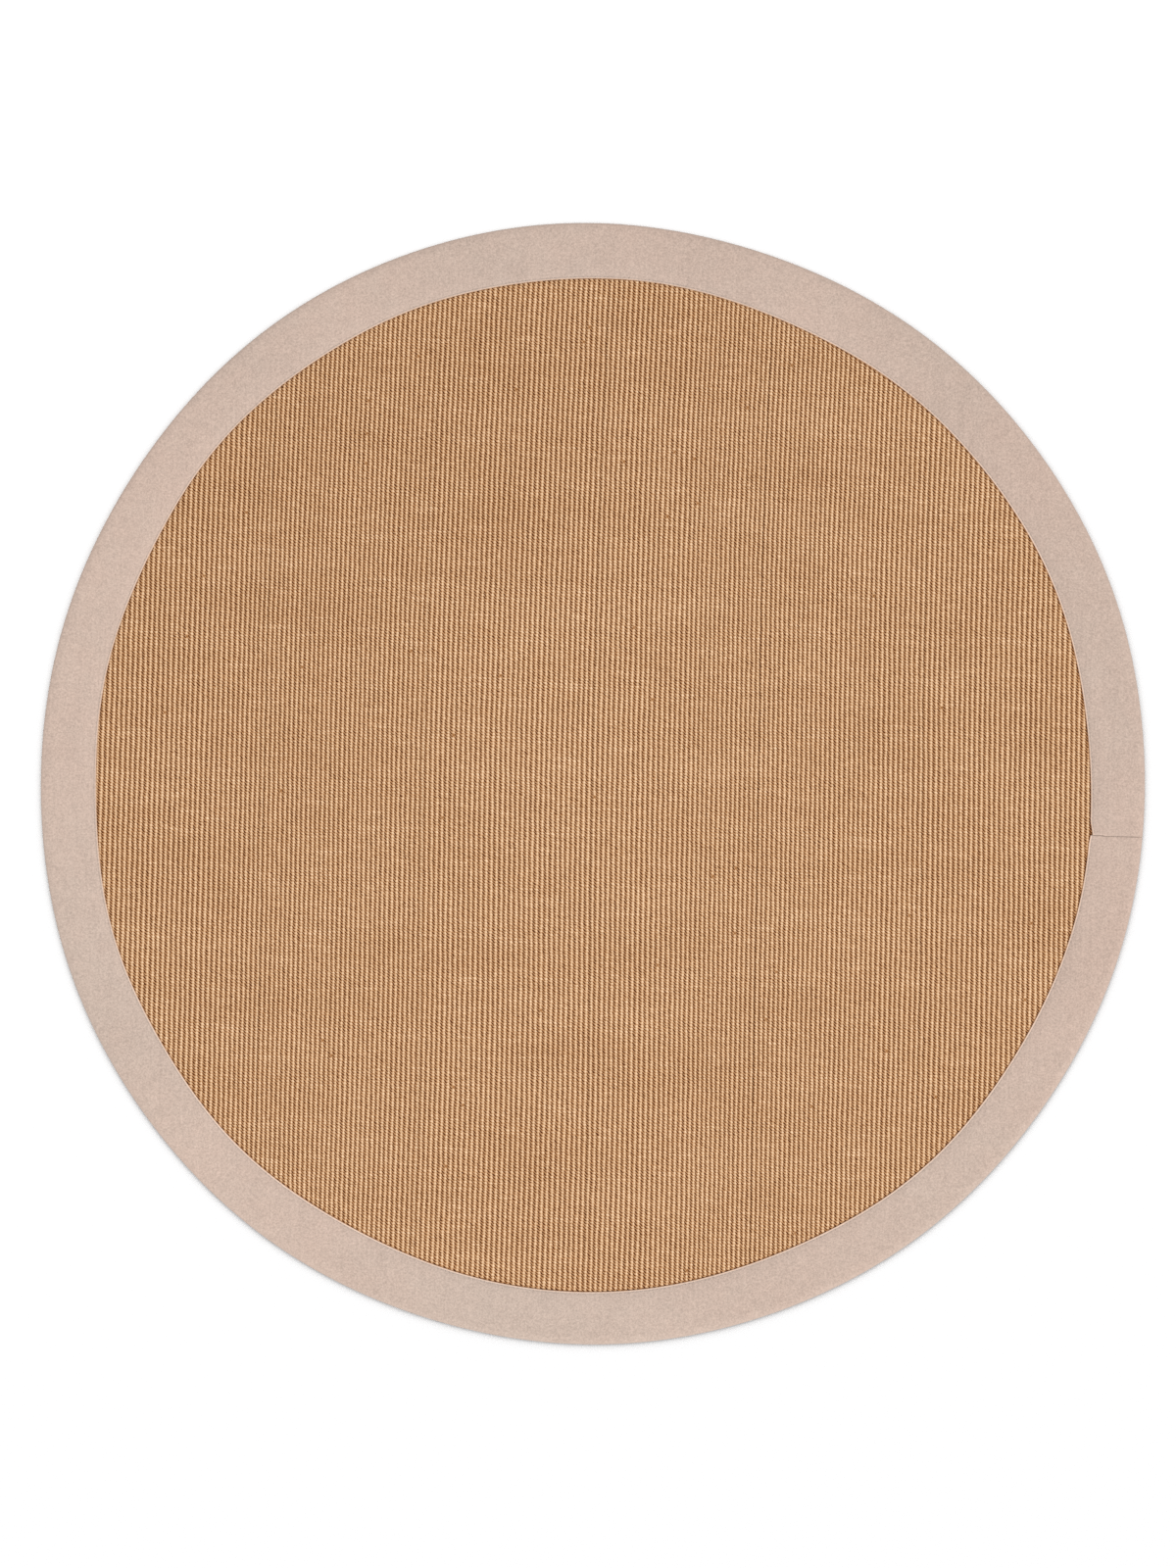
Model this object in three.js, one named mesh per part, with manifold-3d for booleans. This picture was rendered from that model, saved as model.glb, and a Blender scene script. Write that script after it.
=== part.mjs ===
// Round sisal rug. A flat mat of ribbed sisal weave is bound with a wide cotton tape, which is folded round
// the mat's cut edge and sewn through. Millimetres, +Z up. The rug lies flat on z = 0.

import * as THREE from 'three';
import Module from 'manifold-3d';
import { mergeVertices } from 'three/addons/utils/BufferGeometryUtils.js';

// Outline of the rug, as a mean radius and slow waves round it
const OUTER_RADIUS = 747.6;
const INNER_RADIUS = 676;
const OUTER_WAVES = [
  { perTurn: 1, height: 1.6, peakAt: 88.0 },
  { perTurn: 2, height: 5.3, peakAt: 87.6 },
  { perTurn: 3, height: 1.0, peakAt: -7.6 },
  { perTurn: 4, height: 1.3, peakAt: 27.5 },
  { perTurn: 5, height: 0.4, peakAt: -34.4 },
  { perTurn: 6, height: 0.4, peakAt: -14.6 },
  { perTurn: 10, height: 0.6, peakAt: -17.0 },
];
const INNER_WAVES = [
  { perTurn: 2, height: 4.8, peakAt: 93.7 },
  { perTurn: 3, height: 1.5, peakAt: -7.0 },
  { perTurn: 4, height: 1.7, peakAt: 33.5 },
  { perTurn: 5, height: 0.5, peakAt: -29.1 },
  { perTurn: 6, height: 0.8, peakAt: 29.4 },
  { perTurn: 8, height: 0.7, peakAt: -6.1 },
  { perTurn: 9, height: 0.5, peakAt: -11.1 },
  { perTurn: 10, height: 0.7, peakAt: -16.6 },
  { perTurn: 12, height: 0.7, peakAt: -12.3 },
  { perTurn: 13, height: 0.5, peakAt: 1.2 },
];
const STATION_STEP = 3;

// Where the tape's two ends meet. Its inner edge draws back towards the join, more on one side than on the
// other, and the end on the first side is turned under
const JOIN_ANGLE = -5.6;
const FIRST_NOTCH = { depth: 4.2, angle: 1.5 };
const LAST_NOTCH = { depth: 1.4, angle: 1.0 };
const TURNED_END_LENGTH = 12;
const TURNED_END_SLOPE = 2;
const TURNED_END_RISE = 0.8;

// Thicknesses and heights
const CLEARANCE = 0.3;
const TAPE = 1.0;
const CREST_HEIGHT = 7.0;
const GROOVE_HEIGHT = 5.0;
const RIM_TOP_INSIDE = 4.9;
const RIM_TOP_OUTSIDE = 4.4;
const RIM_BOTTOM = TAPE + CLEARANCE;
const HEM_WIDTH = 8;
const HEM_RISE = 0.6;
const HEM_SLOPE = 2;
const HEM_ROUND = 0.5;
const FIELD_GAP = 0.4;

// The tape's fold at the rug's edge, and the mat's rim inside it, as distances in from the edge
const FOLD_FLAT = 3.2;
const FOLD_CORNER = 0.8;
const FOLD_CORNER_RISE = 1.1;
const FOLD_SLACK = 0.2;
const RIM_TIP = TAPE + CLEARANCE + 0.3;
const RIM_SHOULDER = TAPE + CLEARANCE + 2.5;

// Ribs: they lean to the right going up, curve a little and draw together towards the top.
// The loom wove them in bands. They are close at a band's left side, widen across it and drop back at its end
const RIB_PITCH_CLOSE = 6.28;
const RIB_PITCH_WIDE = 6.83;
const RIB_BAND_START = 137;
const RIB_BAND_WIDTH = 597;
const RIB_BAND_WIDENS = { from: 0.15, to: 0.6 };
const RIB_BAND_DROPS = { from: 0.95, to: 1 };
const CREST_START = 0.3;
const CREST_END = 0.7;
const RIB_LEAN = 0.019;
const RIB_BOW = 9.5e-6;
const RIB_CURL = 1.8e-8;
const RIB_FAN = 7.0e-6;
const RIB_BLOCK_BOTTOM = 2;
const RIB_BLOCK_HALF = 704;
const RIB_STEPS = 4;
const CUT_MARGIN = 5;

// Colours
const SISAL_COLOUR = 0xbe956f;
const COTTON_COLOUR = 0xcfb9ab;

const wasm = await Module();
wasm.setup();

const radians = (degrees) => (degrees * Math.PI) / 180;

function wavyRadius(mean, waves, degrees) {
  let radius = mean;
  for (const wave of waves) {
    radius += wave.height * Math.cos(radians(wave.perTurn * (degrees - wave.peakAt)));
  }
  return radius;
}

function outerRadius(degrees) {
  return wavyRadius(OUTER_RADIUS, OUTER_WAVES, degrees);
}

function notchDepth(notch, turnFromJoin) {
  return notch.depth * Math.max(0, 1 - turnFromJoin / notch.angle);
}

// A station is a direction from the rug's middle and the radii along it: the mat's open field, the tape's
// inner edge and its outer edge
function stationAt(turn) {
  const degrees = JOIN_ANGLE + turn;
  const direction = new THREE.Vector2(Math.cos(radians(degrees)), Math.sin(radians(degrees)));
  const field = wavyRadius(INNER_RADIUS, INNER_WAVES, degrees);
  const inner = field + notchDepth(FIRST_NOTCH, turn) + notchDepth(LAST_NOTCH, 360 - turn);
  return { direction, field, inner, outer: outerRadius(degrees) };
}

// Stations go once round from the join, with one more on each side of it where the notch ends
const turns = [0, FIRST_NOTCH.angle];
for (let turn = STATION_STEP; turn < 360; turn += STATION_STEP) {
  turns.push(turn);
}
turns.push(360 - LAST_NOTCH.angle, 360);
const stations = turns.map(stationAt);
const ringSize = stations.length - 1;

// A place part of the way along the straight stretch between two stations
function between(first, second, distance) {
  const chord = first.direction.clone().multiplyScalar(first.outer)
    .distanceTo(second.direction.clone().multiplyScalar(second.outer));
  return { first, second, share: distance / chord };
}

function placeOf(station) {
  return { first: station, second: station, share: 0 };
}

function pointAt(place, radiusOf, height) {
  const a = place.first.direction.clone().multiplyScalar(radiusOf(place.first));
  const b = place.second.direction.clone().multiplyScalar(radiusOf(place.second));
  const point = a.lerp(b, place.share);
  return new THREE.Vector3(point.x, point.y, height);
}

// A mesh from rows of points: each row is a closed section, and the first and last rows are capped
function loftCapped(rows) {
  const size = rows[0].length;
  const positions = rows.flat().flatMap((point) => point.toArray());
  const triangles = [];
  for (let i = 0; i + 1 < rows.length; i += 1) {
    for (let j = 0; j < size; j += 1) {
      const next = (j + 1) % size;
      const [a, b] = [i * size + j, i * size + next];
      const [c, d] = [a + size, b + size];
      triangles.push(a, d, b, a, c, d);
    }
  }
  for (const [a, b, c] of THREE.ShapeUtils.triangulateShape(sectionFlat(rows[0]), [])) {
    triangles.push(a, b, c);
  }
  const lastStart = (rows.length - 1) * size;
  for (const [a, b, c] of THREE.ShapeUtils.triangulateShape(sectionFlat(rows[rows.length - 1]), [])) {
    triangles.push(lastStart + c, lastStart + b, lastStart + a);
  }
  return geometryOf(positions, triangles);
}

function sectionFlat(row) {
  return row.map((point) => new THREE.Vector2(Math.hypot(point.x, point.y), point.z));
}

function geometryOf(positions, triangles) {
  const geometry = new THREE.BufferGeometry();
  geometry.setAttribute('position', new THREE.Float32BufferAttribute(positions, 3));
  geometry.setIndex(triangles);
  return geometry;
}

function solidOf(geometry) {
  const merged = mergeVertices(geometry);
  const vertProperties = new Float32Array(merged.attributes.position.array);
  const triVerts = new Uint32Array(merged.index.array);
  return new wasm.Manifold(new wasm.Mesh({ numProp: 3, vertProperties, triVerts }));
}

function geometryFrom(solid) {
  const mesh = solid.getMesh();
  return geometryOf(Array.from(mesh.vertProperties), Array.from(mesh.triVerts));
}

// Border tape: a band folded into a C round the rim, with a thicker hem along its inner edge.
// rise is how much the tape's outer skin stands up where its end is turned under
function tapeSection(place, rise) {
  const inner = (inset) => (station) => station.inner + inset;
  const outer = (inset) => (station) => station.outer - inset;
  const foldMiddle = (RIM_BOTTOM + RIM_TOP_OUTSIDE) / 2;
  const underInside = RIM_TOP_INSIDE + CLEARANCE;
  const underOutside = RIM_TOP_OUTSIDE + CLEARANCE;
  const topInside = underInside + TAPE + rise;
  const topOutside = underOutside + TAPE + rise;
  const skin = [
    [inner(0), 0],
    [outer(FOLD_FLAT), 0],
    [outer(FOLD_CORNER - rise / 2), FOLD_CORNER_RISE],
    [outer(-rise / 2), foldMiddle],
    [outer(FOLD_CORNER - rise / 2), topOutside - FOLD_CORNER_RISE],
    [outer(FOLD_FLAT), topOutside],
    [inner(HEM_WIDTH + HEM_SLOPE), topInside],
    [inner(HEM_WIDTH), topInside + HEM_RISE],
    [inner(HEM_ROUND), topInside + HEM_RISE],
    [inner(0), topInside + HEM_RISE - HEM_ROUND],
    [inner(0), underInside],
    [outer(FOLD_FLAT + FOLD_SLACK), underOutside],
    [outer(TAPE + FOLD_SLACK), foldMiddle],
    [outer(FOLD_FLAT), TAPE],
    [inner(0), TAPE],
  ];
  return skin.map(([radiusOf, height]) => pointAt(place, radiusOf, height));
}

function borderTape() {
  const [first, second] = stations;
  const [beforeLast, last] = stations.slice(-2);
  const rows = [
    tapeSection(between(first, second, CLEARANCE / 2), TURNED_END_RISE),
    tapeSection(between(first, second, TURNED_END_LENGTH), TURNED_END_RISE),
    tapeSection(between(first, second, TURNED_END_LENGTH + TURNED_END_SLOPE), 0),
  ];
  for (const station of stations.slice(1, -1)) {
    rows.push(tapeSection(placeOf(station), 0));
  }
  rows.push(tapeSection(between(last, beforeLast, CLEARANCE / 2), 0));
  return loftCapped(rows);
}

// Mat: the base, squeezed thinner at the rim that the tape covers
const fieldRadius = (station) => station.field - FIELD_GAP;

function ringOf(radiusOf, height) {
  return stations.slice(0, ringSize).map((station) => {
    const radius = radiusOf(station);
    return new THREE.Vector3(station.direction.x * radius, station.direction.y * radius, height);
  });
}

// A closed body from rings stacked from its bottom to its top, with flat ends
function stackRings(rings) {
  const positions = rings.flat().flatMap((point) => point.toArray());
  const triangles = [];
  for (let i = 0; i + 1 < rings.length; i += 1) {
    for (let j = 0; j < ringSize; j += 1) {
      const next = (j + 1) % ringSize;
      const [a, b] = [i * ringSize + j, i * ringSize + next];
      triangles.push(a, b, b + ringSize, a, b + ringSize, a + ringSize);
    }
  }
  const bottom = rings[0].map((point) => new THREE.Vector2(point.x, point.y));
  const top = rings[rings.length - 1].map((point) => new THREE.Vector2(point.x, point.y));
  for (const [a, b, c] of THREE.ShapeUtils.triangulateShape(bottom, [])) {
    triangles.push(c, b, a);
  }
  const topStart = (rings.length - 1) * ringSize;
  for (const [a, b, c] of THREE.ShapeUtils.triangulateShape(top, [])) {
    triangles.push(topStart + a, topStart + b, topStart + c);
  }
  return solidOf(geometryOf(positions, triangles));
}

function matBase() {
  const outer = (inset) => (station) => station.outer - inset;
  const foldMiddle = (RIM_BOTTOM + RIM_TOP_OUTSIDE) / 2;
  return stackRings([
    ringOf(fieldRadius, 0),
    ringOf(fieldRadius, RIM_BOTTOM),
    ringOf(outer(RIM_SHOULDER), RIM_BOTTOM),
    ringOf(outer(RIM_TIP), foldMiddle),
    ringOf(outer(RIM_SHOULDER), RIM_TOP_OUTSIDE),
    ringOf(fieldRadius, RIM_TOP_INSIDE),
  ]);
}

// Ribs: a block with a ridged top, cut to the field inside the tape
function ribPoint(across, along, height) {
  const lean = RIB_LEAN * along + RIB_BOW * along ** 2 + RIB_CURL * along ** 3;
  return new THREE.Vector3(across * (1 - RIB_FAN * along) + lean, along, height);
}

function ribPitch(across) {
  const bands = (across - RIB_BAND_START) / RIB_BAND_WIDTH;
  const share = bands - Math.floor(bands);
  const widened = THREE.MathUtils.smoothstep(share, RIB_BAND_WIDENS.from, RIB_BAND_WIDENS.to)
    - THREE.MathUtils.smoothstep(share, RIB_BAND_DROPS.from, RIB_BAND_DROPS.to);
  return THREE.MathUtils.lerp(RIB_PITCH_CLOSE, RIB_PITCH_WIDE, widened);
}

// The grooves across the mat from one side to the other, one of them at the middle
function grooves() {
  const places = [0];
  while (places[places.length - 1] < RIB_BLOCK_HALF) {
    const last = places[places.length - 1];
    places.push(last + ribPitch(last + RIB_PITCH_CLOSE / 2));
  }
  while (places[0] > -RIB_BLOCK_HALF) {
    places.unshift(places[0] - ribPitch(places[0] - RIB_PITCH_CLOSE / 2));
  }
  return places;
}

function ribBlock() {
  const places = grooves();
  const lines = [{ across: places[0], height: GROOVE_HEIGHT }];
  for (let k = 1; k < places.length; k += 1) {
    const crestAt = (share) => THREE.MathUtils.lerp(places[k - 1], places[k], share);
    lines.push({ across: crestAt(CREST_START), height: CREST_HEIGHT });
    lines.push({ across: crestAt(CREST_END), height: CREST_HEIGHT });
    lines.push({ across: places[k], height: GROOVE_HEIGHT });
  }

  const section = (along) => {
    const top = lines.map((line) => ribPoint(line.across, along, line.height));
    const bottom = lines.map((line) => ribPoint(line.across, along, RIB_BLOCK_BOTTOM));
    return [...bottom, ...top.reverse()];
  };
  const rows = [];
  for (let i = 0; i <= RIB_STEPS; i += 1) {
    rows.push(section(RIB_BLOCK_HALF * ((2 * i) / RIB_STEPS - 1)));
  }
  return ribBlockSolid(rows, lines.length);
}

// The block's two ends are strips between its bottom and its top lines
function ribBlockSolid(rows, lineCount) {
  const size = rows[0].length;
  const positions = rows.flat().flatMap((point) => point.toArray());
  const triangles = [];
  for (let i = 0; i + 1 < rows.length; i += 1) {
    for (let j = 0; j < size; j += 1) {
      const next = (j + 1) % size;
      const [a, b] = [i * size + j, i * size + next];
      triangles.push(a, b + size, b, a, a + size, b + size);
    }
  }
  const lastStart = (rows.length - 1) * size;
  for (let j = 0; j + 1 < lineCount; j += 1) {
    const [a, b] = [j, j + 1];
    const [c, d] = [size - 1 - j, size - 2 - j];
    triangles.push(a, b, d, a, d, c);
    triangles.push(lastStart + a, lastStart + d, lastStart + b, lastStart + a, lastStart + c, lastStart + d);
  }
  return solidOf(geometryOf(positions, triangles));
}

function sisalMat() {
  const field = stackRings([
    ringOf(fieldRadius, RIB_BLOCK_BOTTOM - CUT_MARGIN),
    ringOf(fieldRadius, CREST_HEIGHT + CUT_MARGIN),
  ]);
  const ribs = ribBlock().intersect(field);
  return geometryFrom(matBase().add(ribs));
}

function piece(name, geometry, colour, roughness) {
  geometry.computeVertexNormals();
  const material = new THREE.MeshStandardMaterial({ color: colour, roughness, metalness: 0 });
  const mesh = new THREE.Mesh(geometry, material);
  mesh.name = name;
  return mesh;
}

const rug = new THREE.Group();
rug.name = 'sisal_rug';
rug.add(piece('sisal_mat', sisalMat(), SISAL_COLOUR, 0.85));
rug.add(piece('border_tape', borderTape(), COTTON_COLOUR, 0.9));

// The middle of the outline's box comes over the origin
const middle = new THREE.Box3().setFromObject(rug).getCenter(new THREE.Vector3());
rug.position.set(-middle.x, -middle.y, 0);

export default rug;
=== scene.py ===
import math

import bpy
import numpy as np
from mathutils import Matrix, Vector


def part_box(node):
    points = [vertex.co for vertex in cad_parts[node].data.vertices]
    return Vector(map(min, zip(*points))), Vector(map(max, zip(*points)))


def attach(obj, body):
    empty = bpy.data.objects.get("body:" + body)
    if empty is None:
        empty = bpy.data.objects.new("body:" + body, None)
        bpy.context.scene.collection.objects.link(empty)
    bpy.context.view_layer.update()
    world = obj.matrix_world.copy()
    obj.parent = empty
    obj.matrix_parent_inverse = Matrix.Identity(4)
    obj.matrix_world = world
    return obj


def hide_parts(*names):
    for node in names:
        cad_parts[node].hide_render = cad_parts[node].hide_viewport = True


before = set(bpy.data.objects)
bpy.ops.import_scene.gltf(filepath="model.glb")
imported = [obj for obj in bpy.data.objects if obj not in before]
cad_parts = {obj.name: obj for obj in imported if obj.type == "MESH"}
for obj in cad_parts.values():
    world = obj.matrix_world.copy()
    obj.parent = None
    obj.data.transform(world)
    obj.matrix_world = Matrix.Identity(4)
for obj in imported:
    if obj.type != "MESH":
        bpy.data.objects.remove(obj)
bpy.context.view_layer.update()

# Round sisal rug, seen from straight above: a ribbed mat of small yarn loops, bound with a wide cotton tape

MM = 0.001

# Outline of the rug about its own middle: a mean radius and slow waves round it.
# Each wave has its count in a turn, its height and the angle of a peak in degrees
OUTER_RADIUS = 747.6 * MM
OUTER_WAVES = (
    (1, 1.6 * MM, 88.0),
    (2, 5.3 * MM, 87.6),
    (3, 1.0 * MM, -7.6),
    (4, 1.3 * MM, 27.5),
    (5, 0.4 * MM, -34.4),
    (6, 0.4 * MM, -14.6),
    (10, 0.6 * MM, -17.0),
)
INNER_RADIUS = 675.4 * MM
INNER_WAVES = (
    (2, 4.8 * MM, 93.7),
    (3, 1.5 * MM, -7.0),
    (4, 1.7 * MM, 33.5),
    (5, 0.5 * MM, -29.1),
    (6, 0.8 * MM, 29.4),
    (8, 0.7 * MM, -6.1),
    (9, 0.5 * MM, -11.1),
    (10, 0.7 * MM, -16.6),
    (12, 0.7 * MM, -12.3),
    (13, 0.5 * MM, 1.2),
)
OUTLINE_STEP = 0.1
WAY_ROUND = 2 * math.pi * OUTER_RADIUS

# Where the tape's two ends meet. Its inner edge draws back towards the join, more on one side than on the
# other. Depth and angle of the notch are given for each end. The mat under the tape follows half of it
JOIN_ANGLE = -5.6
FIRST_NOTCH = (4.2 * MM, 1.5)
LAST_NOTCH = (1.4 * MM, 1.0)
MAT_NOTCH = 0.5

# Weave: ribs lean to the right going up, bow a little and draw together towards the top.
# The loom wove them in bands, close at a band's left side and wide at its right. Shares of a band's width
# say where the ribs grow wider and where they drop back.
# Picks are the rows of loops across the ribs, and fall to the right
RIB_PITCH_CLOSE = 6.28 * MM
RIB_PITCH_WIDE = 6.83 * MM
RIB_BAND_START = 137 * MM
RIB_BAND_WIDTH = 597 * MM
BAND_WIDENS = (0.15, 0.6)
BAND_DROPS = (0.95, 1.0)
RIB_LEAN = 0.019
RIB_BOW = 9.5e-6 / MM
RIB_CURL = 1.8e-8 / MM**2
RIB_FAN = 7.0e-6 / MM
PICK_PITCH = 3.965 * MM
PICK_FALL = 0.039

# Heights above the floor
GROOVE_HEIGHT = 4.9 * MM
CREST_HEIGHT = 6.8 * MM
LOOP_SWELL = 0.42 * MM
GROOVE_SWELL_SHARE = 0.6
TUCKED_HEIGHT = 4.3 * MM
WEAVE_BOTTOM = 3.6 * MM
BASE_TOP = 3.4 * MM
RIM_BOTTOM = 1.3 * MM
RIM_TOP = 4.4 * MM

# Slow unevenness. Columns: size, two wavelengths in metres and the seed of the chance. The wavelengths are
# across and along the ribs for the weave, and along and across the tape for its puckers
WAVES_SUMMED = 7
WEAVE_DRIFT_ACROSS = (
    (0.60 * MM, 0.50, 0.70, 11),
    (0.13 * MM, 0.05, 0.16, 12),
    (0.15 * MM, 0.03, 0.05, 15),
)
WEAVE_DRIFT_ALONG = (
    (0.45 * MM, 0.50, 0.18, 13),
    (0.16 * MM, 0.05, 0.05, 14),
    (0.13 * MM, 0.025, 0.014, 16),
)
WEAVE_HEIGHT_WAVES = (
    (0.05 * MM, 0.05, 0.03, 22),
)
TAPE_PUCKERS = (
    (1.0, 0.045, 0.12, 31),
    (0.7, 0.018, 0.10, 32),
)

# Chance unevenness of each point of the weave: its spread and its limit
SHIFT_ACROSS, LIMIT_ACROSS = 0.27 * MM, 0.55 * MM
SHIFT_ALONG, LIMIT_ALONG = 0.38 * MM, 0.9 * MM
SHIFT_UP = 0.15 * MM

# The camera looks straight down. The picture is 1200 by 1600 pixels, with this many metres a pixel
PIXEL = 1.3165 * MM
PICTURE_WIDTH, PICTURE_HEIGHT = 1200, 1600
RUG_MIDDLE_PIXEL = (604.5, 801.2)
CAMERA_HEIGHT = 12.0
SENSOR = 36.0


def smoothstep(low, high, value):
    t = np.clip((value - low) / (high - low), 0, 1)
    return t * t * (3 - 2 * t)


def wavy_radius(mean, waves, degrees):
    radius = np.full_like(degrees, mean)
    for per_turn, height, peak in waves:
        radius += height * np.cos(np.radians(per_turn * (degrees - peak)))
    return radius


def outer_radius(degrees):
    return wavy_radius(OUTER_RADIUS, OUTER_WAVES, degrees)


def inner_radius(degrees, notched=1.0):
    turn = (degrees - JOIN_ANGLE + 540) % 360 - 180
    first = FIRST_NOTCH[0] * np.clip(1 - turn / FIRST_NOTCH[1], 0, 1) * (turn >= 0)
    last = LAST_NOTCH[0] * np.clip(1 + turn / LAST_NOTCH[1], 0, 1) * (turn < 0)
    return wavy_radius(INNER_RADIUS, INNER_WAVES, degrees) + notched * (first + last)


def rug_middle():
    """The outline's own middle in the frame, where the origin is the middle of the outline's box."""
    degrees = np.arange(0, 360, OUTLINE_STEP)
    radius = outer_radius(degrees)
    x, y = radius * np.cos(np.radians(degrees)), radius * np.sin(np.radians(degrees))
    low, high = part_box("border_tape")
    return (
        (low.x + high.x) / 2 - (x.min() + x.max()) / 2,
        (low.y + high.y) / 2 - (y.min() + y.max()) / 2,
    )


MIDDLE_X, MIDDLE_Y = rug_middle()


def slow_waves(x, y, length_x, length_y, seed):
    """A smooth uneven field with a root mean square of 1, from a few plane waves of about these lengths."""
    rng = np.random.default_rng(seed)
    total = np.zeros_like(x)
    for _ in range(WAVES_SUMMED):
        angle, phase = rng.uniform(0, 2 * math.pi, 2)
        stretch = rng.uniform(0.7, 1.5)
        along = x * math.cos(angle) / length_x + y * math.sin(angle) / length_y
        total += np.cos(2 * math.pi * along / stretch + phase)
    return total / math.sqrt(WAVES_SUMMED / 2)


def unevenness(x, y, waves):
    """The sum of slow waves from a table of sizes, wavelengths and seeds."""
    return sum(size * slow_waves(x, y, *lengths, seed) for size, *lengths, seed in waves)


# Meshes

def mesh_piece(name, points, face_groups, smooth_groups, material):
    """An object from points and arrays of faces. Faces of one array have as many corners; smooth_groups says
    which arrays are shaded smooth."""
    mesh = bpy.data.meshes.new(name)
    mesh.vertices.add(len(points))
    mesh.vertices.foreach_set("co", np.asarray(points, np.float32).ravel())
    corners = np.concatenate([faces.ravel() for faces in face_groups]).astype(np.int32)
    sizes = np.concatenate([np.full(len(faces), faces.shape[1]) for faces in face_groups])
    mesh.loops.add(len(corners))
    mesh.loops.foreach_set("vertex_index", corners)
    mesh.polygons.add(len(sizes))
    starts = np.concatenate([[0], np.cumsum(sizes)[:-1]]).astype(np.int32)
    mesh.polygons.foreach_set("loop_start", starts)
    smooth = np.concatenate([np.full(len(f), s) for f, s in zip(face_groups, smooth_groups)])
    mesh.polygons.foreach_set("use_smooth", smooth)
    mesh.update(calc_edges=True)
    mesh.materials.append(material)
    piece = bpy.data.objects.new(name, mesh)
    bpy.context.scene.collection.objects.link(piece)
    return piece


def store_values(piece, name, values):
    """Values at the piece's points, three for each point or one."""
    kind, key = ("FLOAT_VECTOR", "vector") if values.ndim == 2 else ("FLOAT", "value")
    layer = piece.data.attributes.new(name, kind, "POINT")
    layer.data.foreach_set(key, np.asarray(values, np.float32).ravel())


def store_map(piece, groups):
    """A flat map of the piece's faces, from the places of their corners, group by group as in mesh_piece."""
    layer = piece.data.uv_layers.new(name="OFBake")
    places = np.concatenate([group.reshape(-1, 2) for group in groups])
    layer.uv.foreach_set("vector", places.astype(np.float32).ravel())


def share_between(values):
    return (values - values.min()) / (values.max() - values.min())


def off_edges(share):
    """A share of a strip of a flat map, kept a hundredth off the strip's edges."""
    return 0.01 + 0.98 * share


def square_corners(start, end, low, high):
    """Four corners of a face on a flat map: its first side at start, its last at end."""
    across = np.stack([start, start, end, end], axis=1)
    up = np.stack([high, low, low, high], axis=1)
    return np.stack([across, up], axis=2)


# Shader helpers

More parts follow.
